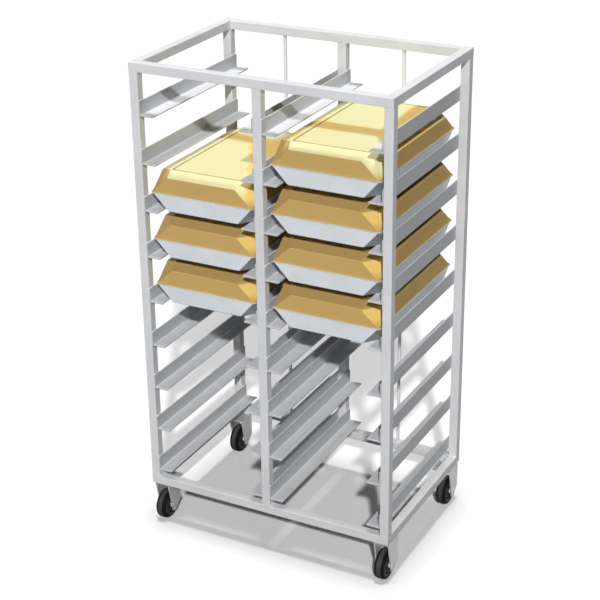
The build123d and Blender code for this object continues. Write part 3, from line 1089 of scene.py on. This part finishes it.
@dataclass
class WeldBeads:
    """The fillet welds that join the frame, painted over. Sizes in millimetres."""

    post_leg: float = 4.5
    runner_leg: float = 3.4
    rod_leg: float = 3.5
    plate_leg: float = 4.5
    plate_run_along: float = 64.0
    plate_run_across: float = 28.0
    plate_corner_gap: float = 4.0
    end_gap: float = 2.5
    swell: float = 0.12
    # Weld ripples are about 2 mm apart, too fine to show, so they are drawn 6 mm apart.
    ripple: float = 6.0
    rows: int = 22
    arc_points: int = 5
    end_share: float = 0.999
    end_power: int = 8
    rod_segments: int = 36
    rod_swells: int = 6
    level_count: int = 9
    upstand_height: float = 52.0

    def build(self, finish: Material) -> list[Object]:
        """Make the beads of the posts, rods, plates and runners on the frame's body.

        Args:
            finish: The material of the coat that covers them.

        Returns:
            The objects that hold the beads.
        """
        pieces = [self._post_welds(), self._rod_welds(), self._plate_welds()]
        pieces += [self._runner_welds(bay, side) for bay in Side for side in Side]
        for piece in pieces:
            piece.data.materials.append(finish)
            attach(piece, "frame")
        return pieces

    def _beads(self, name: str, joints: list[Joint], leg: float) -> Object:
        """Lay beads along straight joints.

        A bead's section is a quarter disc between the two faces. Its radius swells once every ripple and
        falls at the ends as the square root of 1 - end_share (2v - 1)^end_power, where v runs from 0 to 1.

        Args:
            name: The object's name.
            joints: The joints to weld.
            leg: The beads' radius.

        Returns:
            One object with all the beads.
        """
        start, end, first_leg, second_leg = np.array(joints, float).swapaxes(0, 1)[:, :, None, None]
        v = np.linspace(0, 1, self.rows)[None, :, None, None]
        length = np.linalg.norm(end - start, axis=-1, keepdims=True)
        radius = leg * (1 + self.swell * np.cos(2 * np.pi * v * length / self.ripple))
        radius = radius * np.sqrt(1 - self.end_share * (2 * v - 1) ** self.end_power)
        angle = np.linspace(0, np.pi / 2, self.arc_points)[None, None, :, None]
        spine = start + (end - start) * v
        arc = spine + radius * (np.cos(angle) * first_leg + np.sin(angle) * second_leg)
        return shell_object(name, np.concatenate([spine, arc], axis=2))

    def _post_welds(self) -> Object:
        """Lay beads across the posts' feet and heads, on the sides where a rail carries on.

        Returns:
            One object with the posts' beads.
        """
        joints = []
        for row, back in (("front", 1), ("rear", -1)):
            for column, turns in (("left", (1,)), ("middle", (1, -1)), ("right", (-1,))):
                low, high = box_mm(f"post_{row}_{column}")
                near, far = low + self.end_gap, high - self.end_gap
                for z, up in ((low[2], (0, 0, 1)), (high[2], (0, 0, -1))):
                    for turn in turns:
                        x = high[0] if turn > 0 else low[0]
                        joints.append(Joint((x, near[1], z), (x, far[1], z), (turn, 0, 0), up))
                    if column != "middle":
                        y = high[1] if back > 0 else low[1]
                        joints.append(Joint((near[0], y, z), (far[0], y, z), (0, back, 0), up))
        return self._beads("post_welds", joints, self.post_leg)

    def _plate_welds(self) -> Object:
        """Lay beads on the castor plates along the inner edges of the base ring.

        Returns:
            One object with the plates' beads.
        """
        top = box_mm("castor_plates")[1, 2]
        side, end = box_mm("base_rail_right")[0, 0], box_mm("base_rail_rear")[0, 1]
        near_side, far_side = side - self.plate_corner_gap, side - self.plate_run_across
        near_end, far_end = end - self.plate_corner_gap, end - self.plate_run_along
        joints = []
        for right in (-1, 1):
            for rear in (-1, 1):
                x, y = right * side, rear * end
                joints += [
                    Joint((x, rear * far_end, top), (x, rear * near_end, top), (-right, 0, 0), (0, 0, 1)),
                    Joint((right * far_side, y, top), (right * near_side, y, top), (0, -rear, 0), (0, 0, 1)),
                ]
        return self._beads("castor_plate_welds", joints, self.plate_leg)

    def _runner_welds(self, bay: Side, side: Side) -> Object:
        """Lay beads over and under each runner where its upstand meets the front and the rear post.

        Args:
            bay: The bay.
            side: The side of the bay whose runners are welded.

        Returns:
            One object with these runners' beads.
        """
        low, high = box_mm(f"runners_{bay.value}_bay_{side.value}")
        x, turn = (low[0], 1) if side is Side.LEFT else (high[0], -1)
        tube = np.ptp(box_mm("post_front_left")[:, 1])
        pitch = (high[2] - low[2] - self.upstand_height) / (self.level_count - 1)
        joints = []
        for level in range(self.level_count):
            under = low[2] + level * pitch
            for z, up in ((under + self.upstand_height, 1), (under, -1)):
                for front in (low[1], high[1] - tube):
                    near, far = front + self.end_gap, front + tube - self.end_gap
                    joints.append(Joint((x, near, z), (x, far, z), (turn, 0, 0), (0, 0, up)))
        return self._beads(f"runner_welds_{bay.value}_bay_{side.value}", joints, self.runner_leg)

    def _rod_welds(self) -> Object:
        """Lay rings round the feet and heads of the stop rods: a quarter disc carried round the rod.

        Returns:
            One object with the rods' rings.
        """
        angle = np.linspace(0, 2 * np.pi, self.rod_segments, endpoint=False)[:, None]
        arc = np.linspace(0, np.pi / 2, self.arc_points)[None, :]
        swell = self.rod_leg * (1 + self.swell * np.cos(self.rod_swells * angle))
        out = np.hstack([np.zeros_like(angle), swell * np.cos(arc)])
        rise = np.hstack([np.zeros_like(angle), swell * np.sin(arc)])
        rings = []
        for bay in Side:
            low, high = box_mm(f"stop_rod_{bay.value}")
            middle = (low + high) / 2
            away = (high[0] - low[0]) / 2 + out
            x, y = middle[0] + away * np.cos(angle), middle[1] + away * np.sin(angle)
            rings += [np.stack([x, y, z], axis=-1) for z in (low[2] + rise, high[2] - rise)]
        return shell_object("stop_rod_welds", np.array(rings), ring=True)


@dataclass
class CoatedFrame:
    """The CAD nodes that keep their shape and get their finish here."""

    paint: dict[Coated, Material]
    steel: Material
    plastic: Material
    nylon: Material

    def dress(self) -> list[Object]:
        """Give every CAD node that stays in view its finish.

        Returns:
            The dressed nodes.
        """
        finishes = {
            ("post_", "stop_rod_"): self.paint[Coated.UPRIGHT],
            ("top_rail_", "base_rail_"): self.paint[Coated.RING],
            ("runners_",): self.paint[Coated.RUNNER],
            ("castor_plates", "swivel_races", "king_pins", "castor_fork_", "castor_axle_"): self.steel,
            ("castor_wheel_",): self.plastic,
            ("castor_bushes_",): self.nylon,
        }
        dressed = []
        for starts, finish in finishes.items():
            for name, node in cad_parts.items():
                if name.startswith(starts):
                    node.data.materials.clear()
                    node.data.materials.append(finish)
                    dressed.append(node)
        return dressed


@dataclass(frozen=True)
class Lamp:
    """A distant lamp.

    The direction is from the object to the lamp, the strength is on a surface that faces it, and the width
    is how broad it looks, in degrees. A lamp that is not mirrored leaves no highlight.
    """

    name: str
    direction: Point
    strength: float
    width: float
    mirrored: bool = True

    def hang(self) -> None:
        """Put the lamp into the scene."""
        light = bpy.data.lights.new(self.name, "SUN")
        light.energy = self.strength
        light.angle = math.radians(self.width)
        hung = bpy.data.objects.new(self.name, light)
        hung.rotation_euler = Vector(self.direction).to_track_quat("Z", "Y").to_euler()
        hung.visible_glossy = self.mirrored
        bpy.context.scene.collection.objects.link(hung)


@dataclass
class Studio:
    """A plain pale floor, a key lamp over the viewer's shoulder, a lamp overhead, level lamps and a low fill.

    The two level lamps light the front and the back alone and throw no shadow on the floor.
    """

    lamps: tuple[Lamp, ...] = (
        Lamp("key_lamp", (0.40, -0.71, 0.575), 2.36, 2.0),
        Lamp("top_lamp", (0.0, 0.0, 1.0), 1.88, 9.0),
        Lamp("front_lamp", (0.0, -1.0, 0.0), 0.73, 8.0, False),
        Lamp("back_lamp", (-0.6, 0.8, 0.0), 1.8, 8.0, False),
    )
    fill: float = 0.02
    floor_size: float = 60.0
    floor_lines: int = 9

    def build(self) -> None:
        """Make the floor, the lamps and the world."""
        self._floor()
        for lamp in self.lamps:
            lamp.hang()
        world = bpy.data.worlds.new("even_fill")
        bpy.context.scene.world = world
        world.use_nodes = True
        world.node_tree.nodes.clear()
        add = partial(put, world.node_tree)
        strength = add("MapRange", {"Value": seen_rays(add), "To Min": self.fill, "To Max": 1.0})
        sky = add("Background", {"Color": WHITE, "Strength": strength})
        add("OutputWorld", {"Surface": sky})
        bpy.context.scene.view_settings.view_transform = "Standard"

    def _floor(self) -> None:
        """Lay the floor, a flat grid of x and y at z = 0, which keeps the object's shadow."""
        line = np.linspace(-self.floor_size / 2, self.floor_size / 2, self.floor_lines)
        x, y = np.meshgrid(line, line)
        points = np.stack([x, y, np.zeros_like(x)], axis=-1).reshape(-1, 3)
        index = np.arange(x.size).reshape(x.shape)
        faces = np.stack([index[:-1, :-1], index[:-1, 1:], index[1:, 1:], index[1:, :-1]], axis=-1)
        mesh = bpy.data.meshes.new("studio_floor")
        mesh.from_pydata(points, [], faces.reshape(-1, 4).tolist())
        mesh.materials.append(FloorPaint().material())
        floor = bpy.data.objects.new("studio_floor", mesh)
        bpy.context.scene.collection.objects.link(floor)


@dataclass
class PhotoCamera:
    """The photograph's viewpoint, solved from the frame's corners: degrees, metres and pixels."""

    azimuth: float = 27.864
    elevation: float = 24.471
    roll: float = -0.756
    distance: float = 5.4844
    aim: Point = (-0.0228, 0.0, 0.8624)
    focal_pixels: float = 1533.06
    picture_pixels: float = 600.0
    sensor_mm: float = 36.0
    farthest: float = 200.0

    def build(self) -> None:
        """Make the camera and give it to the scene."""
        turns = ((self.azimuth, "Z"), (90.0 - self.elevation, "X"), (self.roll, "Z"))
        around, above, tilt = (Matrix.Rotation(math.radians(angle), 4, axis) for angle, axis in turns)
        lens = bpy.data.cameras.new("photo_camera")
        lens.sensor_width = self.sensor_mm
        lens.lens = self.sensor_mm * self.focal_pixels / self.picture_pixels
        lens.clip_end = self.farthest
        camera = bpy.data.objects.new("photo_camera", lens)
        back = Matrix.Translation((0.0, 0.0, self.distance))
        camera.matrix_world = Matrix.Translation(self.aim) @ around @ above @ tilt @ back
        bpy.context.scene.collection.objects.link(camera)
        bpy.context.scene.camera = camera


def main() -> None:
    """Build the sub-assemblies in order and report each piece."""
    logging.basicConfig(level=logging.INFO, format="%(name)s: %(message)s")
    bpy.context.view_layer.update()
    Studio().build()
    PhotoCamera().build()
    paint = {
        where: PowderCoat(name=f"powder_coated_steel_{where.value}", where=where).material()
        for where in Coated
    }
    steel, plastic = ZincPlatedSteel().material(), WheelPlastic().material()
    nylon, rubber = TurnedNylon().material(), TyreRubber().material()
    aluminium = DrawnAluminium().material()
    # Two copies of the lid plastic, with the painted light and shade of uppermost and of covered lids.
    lid_plastic = {
        shelter: MouldedLidPlastic(
            name=f"moulded_tan_polypropylene_{shelter.value}", shelter=shelter).material()
        for shelter in Shelter
    }
    pieces = CoatedFrame(paint, steel, plastic, nylon).dress()
    pieces += WeldBeads().build(paint[Coated.UPRIGHT])
    for corner in Corner:
        pieces += CastorWheel(corner).build(rubber, plastic)
    for bay, levels in ((Side.LEFT, (3, 4, 5)), (Side.RIGHT, (2, 3, 4, 5))):
        for level in levels:
            shelter = Shelter.OPEN if level == min(levels) else Shelter.COVERED
            pieces += LiddedTray(bay, level).build(aluminium, lid_plastic[shelter])
    for piece in pieces:
        LOG.info("%s: %d faces", piece.name, len(piece.data.polygons))


if __name__ == "__main__":
    main()
